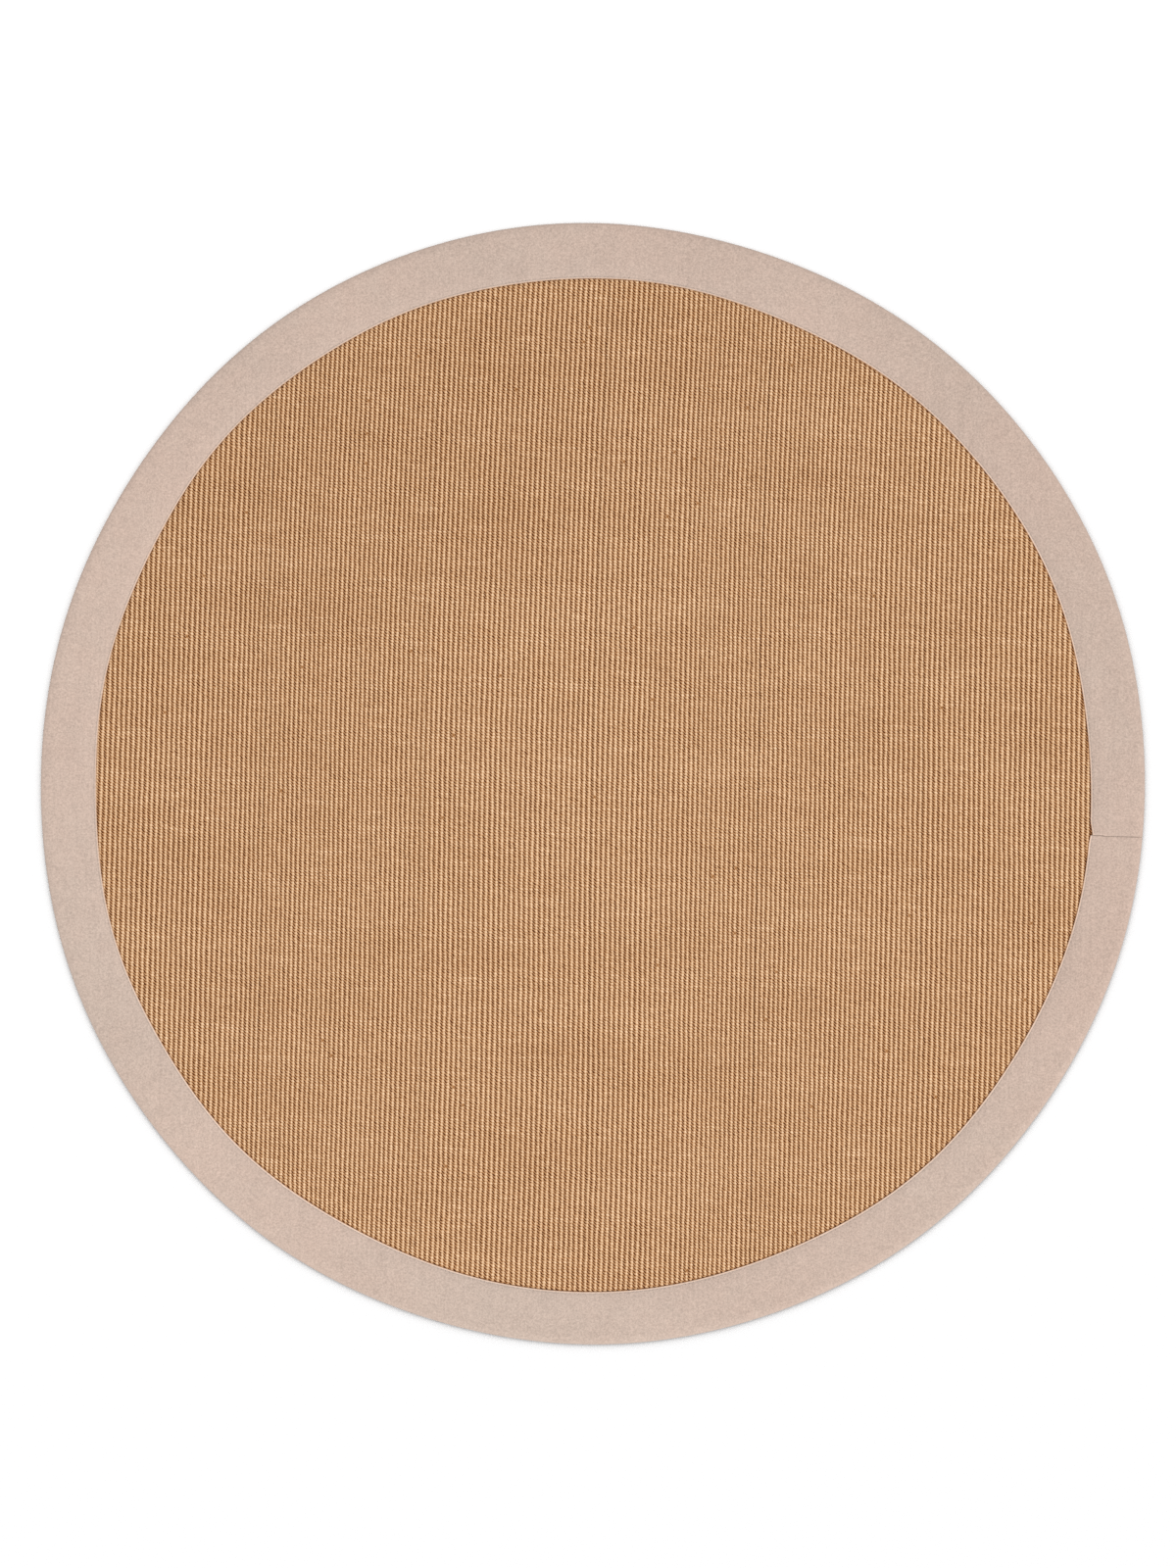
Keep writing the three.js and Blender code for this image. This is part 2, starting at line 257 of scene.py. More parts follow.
class Shader:
    """A material's node tree, with a short way to add and join nodes."""

    def __init__(self, name):
        self.material = bpy.data.materials.new(name)
        self.material.use_nodes = True
        self.tree = self.material.node_tree
        self.tree.nodes.clear()
        self.skin = self.add("ShaderNodeBsdfPrincipled")
        output = self.add("ShaderNodeOutputMaterial")
        self.join(self.skin.outputs["BSDF"], output.inputs["Surface"])

    def add(self, kind, **settings):
        node = self.tree.nodes.new(kind)
        for key, value in settings.items():
            setattr(node, key, value)
        return node

    def join(self, source, target):
        if isinstance(source, bpy.types.NodeSocket):
            self.tree.links.new(source, target)
        else:
            target.default_value = source

    def finish(self, base, roughness, specular):
        self.join(base, self.skin.inputs["Base Color"])
        self.skin.inputs["Roughness"].default_value = roughness
        self.skin.inputs["Specular IOR Level"].default_value = specular

    def math(self, operation, *values):
        node = self.add("ShaderNodeMath", operation=operation)
        for socket, value in zip(node.inputs, values):
            self.join(value, socket)
        return node.outputs[0]

    def plus(self, first, second):
        return self.math("ADD", first, second)

    def minus(self, first, second):
        return self.math("SUBTRACT", first, second)

    def times(self, first, second):
        return self.math("MULTIPLY", first, second)

    def step(self, value, low, high, start=0.0, end=1.0):
        node = self.add("ShaderNodeMapRange", interpolation_type="SMOOTHSTEP")
        for socket, item in zip(node.inputs, (value, low, high, start, end)):
            self.join(item, socket)
        return node.outputs[0]

    def fade(self, value, low, high):
        """1 below the low value, 0 above the high one, and soft between them."""
        return self.step(value, low, high, 1.0, 0.0)

    def vector(self, x, y, z=0.0):
        node = self.add("ShaderNodeCombineXYZ")
        for socket, item in zip(node.inputs, (x, y, z)):
            self.join(item, socket)
        return node.outputs[0]

    def split(self, vector):
        node = self.add("ShaderNodeSeparateXYZ")
        self.join(vector, node.inputs[0])
        return node.outputs

    def attribute(self, name):
        return self.add("ShaderNodeAttribute", attribute_name=name).outputs["Vector"]

    def place(self):
        return self.add("ShaderNodeTexCoord").outputs["Object"]

    def noise(self, vector, scale, detail=2.0, roughness=0.5):
        node = self.add("ShaderNodeTexNoise")
        self.join(vector, node.inputs["Vector"])
        self.join(scale, node.inputs["Scale"])
        self.join(detail, node.inputs["Detail"])
        self.join(roughness, node.inputs["Roughness"])
        return node.outputs["Fac"]

    def field(self, across, along, across_scale, along_scale, layer=0.0, detail=1.0):
        """Noise over two coordinates, each with its own scale. The layer tells one field from another."""
        place = self.vector(self.times(across, across_scale), self.times(along, along_scale), layer)
        return self.noise(place, 1.0, detail)

    def chance(self, vector):
        node = self.add("ShaderNodeTexWhiteNoise", noise_dimensions="3D")
        self.join(vector, node.inputs["Vector"])
        return node.outputs["Value"]

    def swing(self, value, fields):
        """The value, made uneven by each field about its middle, as much as is given with it."""
        for field, amount in fields:
            value = self.plus(value, self.times(self.minus(field, 0.5), amount))
        return value

    def ramp(self, value, stops):
        """Stops are (place, colour or grey)."""
        node = self.add("ShaderNodeValToRGB")
        elements = node.color_ramp.elements
        while len(elements) < len(stops):
            elements.new(0.5)
        for element, (place, colour) in zip(elements, stops):
            element.position = place
            element.color = colour if isinstance(colour, tuple) else (colour, colour, colour, 1)
        self.join(value, node.inputs["Fac"])
        return node.outputs["Color"]

    def mix(self, share, first, second, blend="MIX"):
        node = self.add("ShaderNodeMix", data_type="RGBA", blend_type=blend)
        self.join(share, node.inputs["Factor"])
        self.join(first, node.inputs[6])
        self.join(second, node.inputs[7])
        return node.outputs[2]

    def bump(self, height, distance, strength, normal=None):
        node = self.add("ShaderNodeBump")
        self.join(height, node.inputs["Height"])
        self.join(distance, node.inputs["Distance"])
        self.join(strength, node.inputs["Strength"])
        if normal is not None:
            self.join(normal, node.inputs["Normal"])
        return node.outputs["Normal"]


def colour(red, green, blue):
    """A colour from its 0 to 255 screen values, as a linear one."""
    def linear(value):
        share = value / 255
        return share / 12.92 if share <= 0.04045 else ((share + 0.055) / 1.055) ** 2.4
    return (linear(red), linear(green), linear(blue), 1.0)


# Material of the mat's yarn

# The yarn's tones across one rib, from a crest to the next crest on its right: partly its own tone, partly
# painted shade in the groove and in the gaps between strands. Columns: place in the pitch, lightness along a
# strand's middle there, and how much darker the gap between two strands is with painted shade
RIB_TONES = (
    (0.00, 0.93, 0.18),
    (0.12, 0.84, 0.26),
    (0.25, 0.69, 0.56),
    (0.36, 0.56, 0.80),
    (0.48, 0.52, 0.76),
    (0.62, 0.62, 0.52),
    (0.78, 0.75, 0.34),
    (0.90, 0.86, 0.22),
    (1.00, 0.93, 0.18),
)

# The yarn's colour at each tone, in screen values
YARN_COLOURS = (
    (0.00, (66, 26, 1)),
    (0.20, (106, 54, 12)),
    (0.45, (155, 106, 60)),
    (0.70, (195, 153, 113)),
    (0.90, (222, 187, 150)),
    (1.00, (238, 206, 172)),
)

# Reaches in shares of a pitch: the gap between strands, from where it begins to its middle, and the crest,
# from its full width to where it ends
GAP_REACH = (0.12, 0.5)
CREST_REACH = (0.05, 0.3)

# A gap's painted shade is a fixed share of the table's, and up to a second share more by chance
GAP_SHADE, GAP_CHANCE = 0.88, 0.5

# By chance, loops are lighter or darker on the crest, a few are dark nubs, and thick picks are lighter
BEAD_AMOUNT = 0.07
NUB_SHARE, NUB_AMOUNT = 0.0010, 0.5
THICK_PICK_REACH, THICK_PICK_AMOUNT = (0.58, 0.72), 0.07

# Painted light and shade: the middle of the mat is a little lighter, and its top left a little darker
CENTRE_REACH, CENTRE_LIGHT, FIELD_LIGHT = (0.0, 0.45), 0.030, 0.016
TOP_LEFT_REACH, TOP_LEFT_DARK, TOP_LEFT_SLOPE = (0.2, 0.7), 0.020, 0.6

# Painted shade on the loops that go down under the tape, darkest at the lower right
TUCK_SHADE_REACH, TUCK_SHADE = (0.3 * MM, 2.6 * MM), 0.20
TUCK_SHADE_SIDE = (-0.6, 0.0)

# Fibres and lumps of the yarn. Columns: noise scale for a rib, for a strand, and the jump of the noise from
# one loop or gap to the next. The fibres slant over a rib
FIBRE_SCALES, FIBRE_SLANT, FIBRE_AMOUNT = (2.9, 8.0, 23.0), 1.6, 0.38
LUMP_SCALES, LUMP_AMOUNT = (3.3, 2.5, 37.0), 0.08
YARN_RELIEF, FIBRE_RELIEF = 0.4 * MM, 0.8

# Soft fields of the yarn's lightness: from rib to rib, from pick to pick, in patches, and for thick picks.
# Columns: noise scale over the rib numbers, over the pick numbers, and the layer. Amounts follow
FROM_RIB_TO_RIB, RIB_AMOUNT = (1.7, 0.04, 3.0), 0.02
FROM_PICK_TO_PICK, PICK_AMOUNT = (0.06, 0.22, 7.0), 0.045
PATCHES, PATCH_AMOUNT = (0.03, 0.06, 11.0), 0.075
THICK_PICKS = (0.10, 0.9, 17.0)


def yarn_unevenness(s, rib, strand, pick, loop_chance, gap_chance):
    """Fields of the yarn's unevenness with their amounts, the fibres first, and the field of thick picks."""
    for_rib, for_strand, jump = FIBRE_SCALES
    slanting = s.plus(s.times(strand, for_strand), s.times(rib, FIBRE_SLANT))
    fibre_place = s.vector(s.times(rib, for_rib), slanting, s.times(loop_chance, jump))
    fibre = s.noise(fibre_place, 1.0, detail=3.0, roughness=0.6)
    for_rib, for_strand, jump = LUMP_SCALES
    lump_place = s.vector(s.times(rib, for_rib), s.times(strand, for_strand), s.times(gap_chance, jump))
    lumps = s.noise(lump_place, 1.0, detail=1.0)
    fields = (
        (fibre, FIBRE_AMOUNT),
        (lumps, LUMP_AMOUNT),
        (s.field(s.math("FLOOR", rib), pick, *FROM_RIB_TO_RIB), RIB_AMOUNT),
        (s.field(rib, pick, *FROM_PICK_TO_PICK), PICK_AMOUNT),
        (s.field(rib, pick, *PATCHES), PATCH_AMOUNT),
    )
    return fields, s.field(rib, pick, *THICK_PICKS)


def sisal_material():
    s = Shader("sisal_yarn")
    rib, strand, pick = s.split(s.attribute("weave_place"))
    from_crest = s.math("FRACT", s.plus(rib, 0.5))
    gap = s.step(s.math("PINGPONG", strand, 0.5), *GAP_REACH)
    # Lightness across the rib, and the painted shade of the gaps between strands, deepest in the groove
    light = s.ramp(from_crest, [(place, tone) for place, tone, _ in RIB_TONES])
    depth = s.ramp(from_crest, [(place, amount) for place, _, amount in RIB_TONES])

    # No two loops are alike: each gap has its own depth of painted shade, and each loop its own lightness on
    # the crest
    whole_rib, whole_strand = s.math("FLOOR", rib), s.math("ROUND", strand)
    gap_chance = s.chance(s.vector(s.math("ROUND", rib), s.math("FLOOR", strand), 2.0))
    loop_chance = s.chance(s.vector(whole_rib, whole_strand))
    gap_shade = s.times(depth, s.plus(GAP_SHADE, s.times(gap_chance, GAP_CHANCE)))
    tone = s.minus(light, s.times(gap_shade, gap))
    crest = s.times(s.fade(s.math("PINGPONG", from_crest, 0.5), *CREST_REACH), s.minus(1.0, gap))
    bead = s.times(crest, s.minus(loop_chance, 0.5))

    # Places on the mat: painted light in its middle, painted shade at its top left and where the loops go
    # under the tape
    x, y, _ = s.split(s.place())
    from_centre = s.math("SQRT", s.plus(s.times(x, x), s.times(y, y)))
    to_top_left = s.minus(y, s.times(x, TOP_LEFT_SLOPE))
    tone = s.plus(tone, s.step(from_centre, *CENTRE_REACH, CENTRE_LIGHT, FIELD_LIGHT))
    tone = s.minus(tone, s.step(to_top_left, *TOP_LEFT_REACH, 0.0, TOP_LEFT_DARK))
    # Painted shade where the loops go down under the tape, most at the lower right
    from_tape, _, _ = s.split(s.attribute("from_tape"))
    shaded = s.times(s.fade(from_tape, *TUCK_SHADE_REACH), s.step(s.minus(x, y), *TUCK_SHADE_SIDE))
    tone = s.minus(tone, s.times(shaded, TUCK_SHADE))

    # Unevenness of the yarn: thick picks, loops, fibres and soft patches, and a few dark nubs
    fields, thick_pick = yarn_unevenness(s, rib, strand, pick, loop_chance, gap_chance)
    tone = s.plus(tone, s.step(thick_pick, *THICK_PICK_REACH, 0.0, THICK_PICK_AMOUNT))
    tone = s.plus(tone, s.times(bead, BEAD_AMOUNT))
    tone = s.swing(tone, fields)
    nub_chance = s.chance(s.vector(whole_strand, whole_rib, 9.0))
    nub = s.times(s.math("LESS_THAN", nub_chance, NUB_SHARE), crest)
    tone = s.minus(tone, s.times(nub, NUB_AMOUNT))
    s.finish(s.ramp(tone, [(place, colour(*screen)) for place, screen in YARN_COLOURS]), 0.82, 0.18)
    fibre = fields[0][0]
    relief = s.minus(s.times(fibre, FIBRE_RELIEF), gap)
    s.join(s.bump(relief, YARN_RELIEF, 0.6), s.skin.inputs["Normal"])
    return s.material


# Material of the tape

# Unevenness of the cloth. Columns: name, scale, detail, roughness and how much it changes the lightness
CLOTH_NOISE = (
    ("slow", 1.8, 1.0, 0.5, 0.08),
    ("broad", 5.0, 1.0, 0.5, 0.13),
    ("mottle", 60.0, 3.0, 0.9, 0.18),
    ("grain", 430.0, 2.0, 0.7, 0.86),
)

# The cloth's lightness, and how much of it is lost in a metre to the right and upwards as painted shade. Its
# hue drifts between two colours, and the hem's own edge is in shade
CLOTH_LIGHTNESS = 0.983
LESS_RIGHTWARDS, LESS_UPWARDS = 0.043, 0.02
CLOTH_GREYER = (181.5, 163.5, 150.5)
CLOTH_PINKER = (185.5, 161.8, 147.8)
HEM_SHADE, HEM_SHADE_REACH = (187, 158, 136), (0.4 * MM, 2.0 * MM, 0.8, 0.0)
HUE_NOISE, HUE_SHARES, HUE_REACH = (26.0, 3.0, 0.7), (0.3, 0.7), (0.2, 0.8)
FLAT_REACH = (0.955, 0.985)

# The mat's ribs press through the tape as faint streaks near its inner edge, in relief and in painted light
# and shade along the ribs
MEAN_RIB_PITCH = 0.5 * (RIB_PITCH_CLOSE + RIB_PITCH_WIDE)
PRESSED_REACH = (0.2, 0.85)
PRESSED_AMOUNT = 0.018
STREAK_SCALES, STREAK_AMOUNT = (90.0, 6.0), 6.0

# Painted light and shade: the tape's outer edge is lighter at the lower right than at the upper left, and
# its inner edge is darker there. The reaches are shares of the tape's width
OUTER_TURN_REACH, INNER_TURN_REACH = (0.82, 0.975), (0.05, 0.3)
INNER_TURN_SHARE = 0.8
TURN_AMOUNT = 0.07

# The stitched hem across the tape: a painted highlight on its edge, then a line that the stitches pull down,
# darker with painted shade, as are the holes between stitches. The highlight is stronger to the lower right,
# between the two axes and beside the join. Columns: from, to, and how light
EDGE_TO_LOWER_RIGHT, LOWER_RIGHT_SLOPE = (-0.7, 0.3, 0.4, 1.0), 0.7
EDGE_BETWEEN_AXES = (0.0, 0.2, 0.7, 1.2)
EDGE_BY_JOIN = (0.0, 50 * MM, 0.6, 0.0)
HEM_EDGE_ENDS = (1.6 * MM, 2.2 * MM)
PULLED_STARTS = (1.9 * MM, 2.5 * MM)
PULLED_ENDS = (2.9 * MM, 3.9 * MM)
HOLE_REACH = (0.04, 0.13)

# The join: painted shade, a dark line where one end goes under the other, and a painted highlight on the
# folded edge beside it. Both fade at shares of the tape's width
JOIN_LINE_REACH, JOIN_LINE_FADE = (0.2 * MM, 0.9 * MM), (0.80, 0.95)
FOLDED_REACH, FOLDED_FADE = (1.4 * MM, 3.4 * MM), (0.22, 0.4)

# Dark specks between the threads, and the cloth's relief
THREAD_SCALE = 1100.0
SPECK_REACH, SPECK_DARK = (0.72, 0.80), 0.16
TWILL_PITCH, TWILL_SHARE = 1.7 * MM, 0.25
CLOTH_RELIEF, PRESSED_RELIEF = 0.18 * MM, 0.06 * MM


def hem_marks(s, x, y, length, across):
    """The hem's painted highlight on its edge, the painted shade of the line that is pulled down, and the
    painted shade in the holes between stitches on that line.
    """
    to_lower_right = s.minus(s.times(x, LOWER_RIGHT_SLOPE), y)
    between_axes = s.math("ABSOLUTE", s.times(x, y))
    by_side = s.times(s.step(to_lower_right, *EDGE_TO_LOWER_RIGHT), s.step(between_axes, *EDGE_BETWEEN_AXES))
    from_last_end = s.minus(WAY_ROUND, length)
    edge_highlight = s.plus(by_side, s.step(from_last_end, *EDGE_BY_JOIN))
    edge = s.times(s.fade(across, *HEM_EDGE_ENDS), edge_highlight)
    pulled = s.times(s.step(across, *PULLED_STARTS), s.fade(across, *PULLED_ENDS))
    from_hole = s.math("PINGPONG", s.times(length, STITCH_COUNT / WAY_ROUND), 0.5)
    hole = s.times(pulled, s.fade(from_hole, *HOLE_REACH))
    # Painted highlight on the edge, painted shade on the pulled line and in the holes
    return (edge, 0.33), (pulled, -0.04), (hole, -0.30)


def join_marks(s, length, share):
    """Painted highlight on the folded edge of the end on top, and painted shade on the line between the two
    ends.
    """
    from_join = s.math("MINIMUM", length, s.minus(WAY_ROUND, length))
    line = s.times(s.fade(from_join, *JOIN_LINE_REACH), s.step(share, *JOIN_LINE_FADE, 1.0, 0.2))
    folded = s.times(s.fade(length, *FOLDED_REACH), s.fade(share, *FOLDED_FADE))
    return (folded, 0.14), (line, -0.36)


def cotton_material():
    s = Shader("cotton_twill")
    length, across, share = s.split(s.attribute("tape_place"))
    place = s.place()
    noises = {name: s.noise(place, *settings) for name, *settings, _ in CLOTH_NOISE}
    fine_share, slow_share = HUE_SHARES
    hue = s.plus(s.times(s.noise(place, *HUE_NOISE), fine_share), s.times(noises["slow"], slow_share))
    base = s.mix(s.step(hue, *HUE_REACH), colour(*CLOTH_GREYER), colour(*CLOTH_PINKER))

    # Ribs pressing through, as relief and as painted light and shade along them
    x, y, _ = s.split(place)
    leaning = s.minus(x, s.times(y, RIB_LEAN))
    ribs = s.math("COSINE", s.times(leaning, 2 * math.pi / MEAN_RIB_PITCH))
    streaks = s.field(leaning, y, *STREAK_SCALES, detail=2.0)
    uneven_ribs = s.swing(ribs, [(streaks, STREAK_AMOUNT)])
    pressed = s.times(uneven_ribs, s.fade(share, *PRESSED_REACH))
    lightness = s.plus(CLOTH_LIGHTNESS, s.times(pressed, PRESSED_AMOUNT))

    # Painted shade by place, and the cloth's unevenness, which is weaker where the tape folds down outside
    on_flat = s.step(share, *FLAT_REACH, 1.0, 0.3)
    lightness = s.minus(lightness, s.times(x, LESS_RIGHTWARDS))
    lightness = s.minus(lightness, s.times(y, LESS_UPWARDS))
    lightness = s.swing(lightness, [
        (noises[name], s.times(on_flat, amount)) for name, *_, amount in CLOTH_NOISE
    ])
    # Painted light on the outer edge at the lower right, painted shade on the inner edge there
    inner_turn = s.step(share, *INNER_TURN_REACH, INNER_TURN_SHARE, 0.0)
    outer_less_inner = s.minus(s.step(share, *OUTER_TURN_REACH), inner_turn)
    turned = s.times(outer_less_inner, s.minus(x, y))
    lightness = s.plus(lightness, s.times(turned, TURN_AMOUNT))

    # Painted highlights and shade of the hem, its stitch holes and the join
    for mark, amount in (*hem_marks(s, x, y, length, across), *join_marks(s, length, share)):
        lightness = s.plus(lightness, s.times(mark, amount))
    base = s.mix(s.step(across, *HEM_SHADE_REACH), base, colour(*HEM_SHADE))
    threads = s.field(length, across, THREAD_SCALE, THREAD_SCALE)
    specks = s.step(threads, *SPECK_REACH)
    lightness = s.minus(lightness, s.times(specks, SPECK_DARK))
    s.finish(s.mix(1.0, base, s.vector(lightness, lightness, lightness), "MULTIPLY"), 0.9, 0.12)
    s.skin.inputs["Sheen Weight"].default_value = 0.12

    # Relief: twill lines, uneven threads, and the ribs of the mat pressing through
    twill = s.math("SINE", s.times(s.plus(length, across), 2 * math.pi / TWILL_PITCH))
    cloth = s.times(s.plus(s.times(twill, TWILL_SHARE), noises["grain"]), on_flat)
    cloth_bump = s.bump(cloth, CLOTH_RELIEF, 0.5)
    s.join(s.bump(pressed, PRESSED_RELIEF, 0.5, cloth_bump), s.skin.inputs["Normal"])
    return s.material


# Plain materials of the sewing and of the mat's back

THREAD_DARK = (176, 160, 148)
THREAD_LIGHT = (204, 189, 177)
THREAD_GRAIN = 2500.0
BACK_COLOURS = (
    (0.25, (116, 81, 50)),
    (0.50, (150, 110, 74)),
    (0.80, (180, 142, 104)),
)
BACK_GRAIN = (300.0, 900.0)
BACK_WEAVE_SHARE = 0.18
BACK_RELIEF = 0.5 * MM


def thread_material():
    s = Shader("sewing_thread")
    grain = s.noise(s.place(), THREAD_GRAIN, detail=1.0)
    s.join(s.mix(grain, colour(*THREAD_DARK), colour(*THREAD_LIGHT)), s.skin.inputs["Base Color"])
    s.skin.inputs["Roughness"].default_value = 0.7
    return s.material


def back_material():
    """The mat's woven back, flatter and duller than its face."""
    s = Shader("sisal_back")
    x, y, _ = s.split(s.place())
    ribs = s.times(x, 2 * math.pi / RIB_PITCH_WIDE)
    picks = s.times(y, 2 * math.pi / PICK_PITCH)
    weave = s.times(s.math("SINE", ribs), s.math("SINE", picks))
    grain = s.field(x, y, *BACK_GRAIN, detail=3.0)
    tone = s.plus(s.times(weave, BACK_WEAVE_SHARE), grain)
    base = s.ramp(tone, [(place, colour(*screen)) for place, screen in BACK_COLOURS])
    s.join(base, s.skin.inputs["Base Color"])
    s.skin.inputs["Roughness"].default_value = 0.9
    s.join(s.bump(tone, BACK_RELIEF, 0.6), s.skin.inputs["Normal"])
    return s.material


# Weave of the mat's face. A strand runs level over a crest, dives to the lower right into the groove and
# climbs to the next crest one pick lower, so the grid's rows follow the strands. The grid's columns lie at
# these shares of a rib's pitch, with the share of the ridge's height that each has

COLUMNS = (0.0, 0.2, 0.4, 0.7)
COLUMN_RIDGE = (1.0, 0.62, 0.0, 0.66)
DIVE_END = 0.7
RIBS_EACH_SIDE = 107
GRID_MARGIN = 40 * MM
TABLE_REACH = 800
PLACING_ROUNDS = 3
WEAVE_PARTS = 6
WEAVE_SEED = 21

# The weave goes so far in under the tape, and rises to its full height over so wide a strip beside it
TUCK = 3.0 * MM
PRESSED_WIDTH = 4.3 * MM

# The weave's flat map: the face in columns above, the bottom and the skirt in strips below. The slack at a
# column's ends is in picks
MAP_COLUMNS = 3
MAP_SLACK = 2.0
MAP_FACE_LOW, MAP_FACE_HEIGHT = 0.08, 0.918
MAP_BOTTOM_LOW, MAP_BOTTOM_HEIGHT = 0.04, 0.03
MAP_SKIRT_LOW, MAP_SKIRT_HIGH = 0.005, 0.035


def strand_drop(rib):
    """How many picks a strand has dropped at this rib number, crests being at whole numbers and a half."""
    from_crest = (rib + 0.5) % 1
    return np.floor(rib + 0.5) + smoothstep(0.0, DIVE_END, from_crest)


def weave_grid():
    """The strands' grid: rib, strand and pick number and share of the ridge's height at each point."""
    crests = np.arange(-RIBS_EACH_SIDE, RIBS_EACH_SIDE)
    ribs = (crests[:, None] + 0.5 + np.array(COLUMNS)[None, :]).ravel()
    picks_each_side = int((INNER_RADIUS + GRID_MARGIN) / PICK_PITCH)
    reach = picks_each_side + RIBS_EACH_SIDE
    strands = np.arange(-2 * reach, 2 * reach + 1) / 2
    strand, rib = np.meshgrid(strands, ribs)
    ridge = np.repeat(np.tile(COLUMN_RIDGE, len(crests))[:, None], len(strands), axis=1)
    return rib, strand, strand - strand_drop(rib), ridge


def rib_pitch(across):
    """The ribs' pitch at a place across the mat. It widens over each of the loom's bands and drops back."""
    share = (across - RIB_BAND_START) / RIB_BAND_WIDTH % 1
    widening = smoothstep(*BAND_WIDENS, share) - smoothstep(*BAND_DROPS, share)
    return RIB_PITCH_CLOSE + (RIB_PITCH_WIDE - RIB_PITCH_CLOSE) * widening


def rib_across(rib):
    """How far across the mat a rib number lies, rib 0 being at the middle, by a table at every mm."""
    places = np.arange(-TABLE_REACH, TABLE_REACH + 1) * MM
    numbers = np.cumsum(MM / rib_pitch(places))
    numbers -= np.interp(0, places, numbers)
    return np.interp(rib, numbers, places)


def weave_position(rib, pick):
    """Where a point of the weave lies, from its rib and pick numbers, about the rug's middle. Its x and y
    depend on each other, so they are worked out in a few rounds."""
    across, along = rib_across(rib), pick * PICK_PITCH
    x, y = across, along
    for _ in range(PLACING_ROUNDS):
        y = along - PICK_FALL * x
        x = across * (1 - RIB_FAN * y) + RIB_LEAN * y + RIB_BOW * y**2 + RIB_CURL * y**3
    return x + unevenness(x, y, WEAVE_DRIFT_ACROSS), y + unevenness(x, y, WEAVE_DRIFT_ALONG)


def weave_face():
    """The grid's points: their places and numbers by name, and how far they are inside the tape's edge."""
    rib, strand, pick, ridge = weave_grid()
    x, y = weave_position(rib, pick)
    rng = np.random.default_rng(WEAVE_SEED)
    x = x + np.clip(rng.normal(0, SHIFT_ACROSS, x.shape), -LIMIT_ACROSS, LIMIT_ACROSS)
    y = y + np.clip(rng.normal(0, SHIFT_ALONG, x.shape), -LIMIT_ALONG, LIMIT_ALONG)
    degrees = np.degrees(np.arctan2(y, x))
    inside = inner_radius(degrees, MAT_NOTCH) - np.hypot(x, y)
    swell_share = GROOVE_SWELL_SHARE + (1 - GROOVE_SWELL_SHARE) * ridge
    swell = np.cos(2 * math.pi * strand) * LOOP_SWELL * swell_share
    uneven = rng.normal(0, SHIFT_UP, x.shape) + unevenness(x, y, WEAVE_HEIGHT_WAVES)
    height = GROOVE_HEIGHT + (CREST_HEIGHT - GROOVE_HEIGHT) * ridge + swell + uneven
    height = TUCKED_HEIGHT + (height - TUCKED_HEIGHT) * smoothstep(0, PRESSED_WIDTH, inside)
    return {
        "x": x + MIDDLE_X,
        "y": y + MIDDLE_Y,
        "height": height,
        "rib": rib,
        "strand": strand,
        "pick": pick,
        "inside": inside,
    }


def weave_pieces(material):
    """The face in several closed pieces, side by side."""
    face = weave_face()
    kept = face["inside"] > -TUCK
    whole = kept[:-1, :-1] & kept[1:, :-1] & kept[:-1, 1:] & kept[1:, 1:]
    used = np.flatnonzero(whole.any(axis=1))
    columns_a_part = math.ceil((used.max() + 1 - used.min()) / WEAVE_PARTS)
    parts = []
    for part in range(WEAVE_PARTS):
        start = used.min() + part * columns_a_part
        cells = np.zeros_like(whole)
        cells[start:start + columns_a_part] = whole[start:start + columns_a_part]
        parts.append(weave_part(f"sisal_weave_{part + 1}", cells, face, material))
    return parts


def weave_part(name, cells, face, material):
    """One closed piece of the weave: its face, a skirt round it and a flat bottom."""
    rows = face["x"].shape[1]
    i, j = np.nonzero(cells)
    corner = i * rows + j
    quads = np.stack([corner, corner + rows, corner + rows + 1, corner + 1], axis=1)
    used = np.unique(quads)
    number = np.full(face["x"].size, -1)
    number[used] = np.arange(len(used))
    rim = number[rim_edges(quads)]
    quads = number[quads]
    own = {key: values.ravel()[used] for key, values in face.items()}
    top = np.stack([own["x"], own["y"], own["height"]], axis=1)
    loop = ordered_loop(rim)
    below = top[loop].copy()
    below[:, 2] = WEAVE_BOTTOM
    low = len(top) + np.arange(len(loop))
    skirt = np.stack([loop, low, np.roll(low, -1), np.roll(loop, -1)], axis=1)
    bottom = low[::-1][None, :]
    points = np.concatenate([top, below])
    piece = mesh_piece(name, points, [quads, skirt, bottom], [True, False, False], material)
    place = np.stack([own["rib"], own["strand"], own["pick"]], axis=1)
    store_values(piece, "weave_place", np.concatenate([place, place[loop]]))
    store_values(piece, "from_tape", np.concatenate([own["inside"], own["inside"][loop]]))
    store_map(piece, weave_map(own["rib"][quads], own["pick"][quads], top[loop]))
    return piece


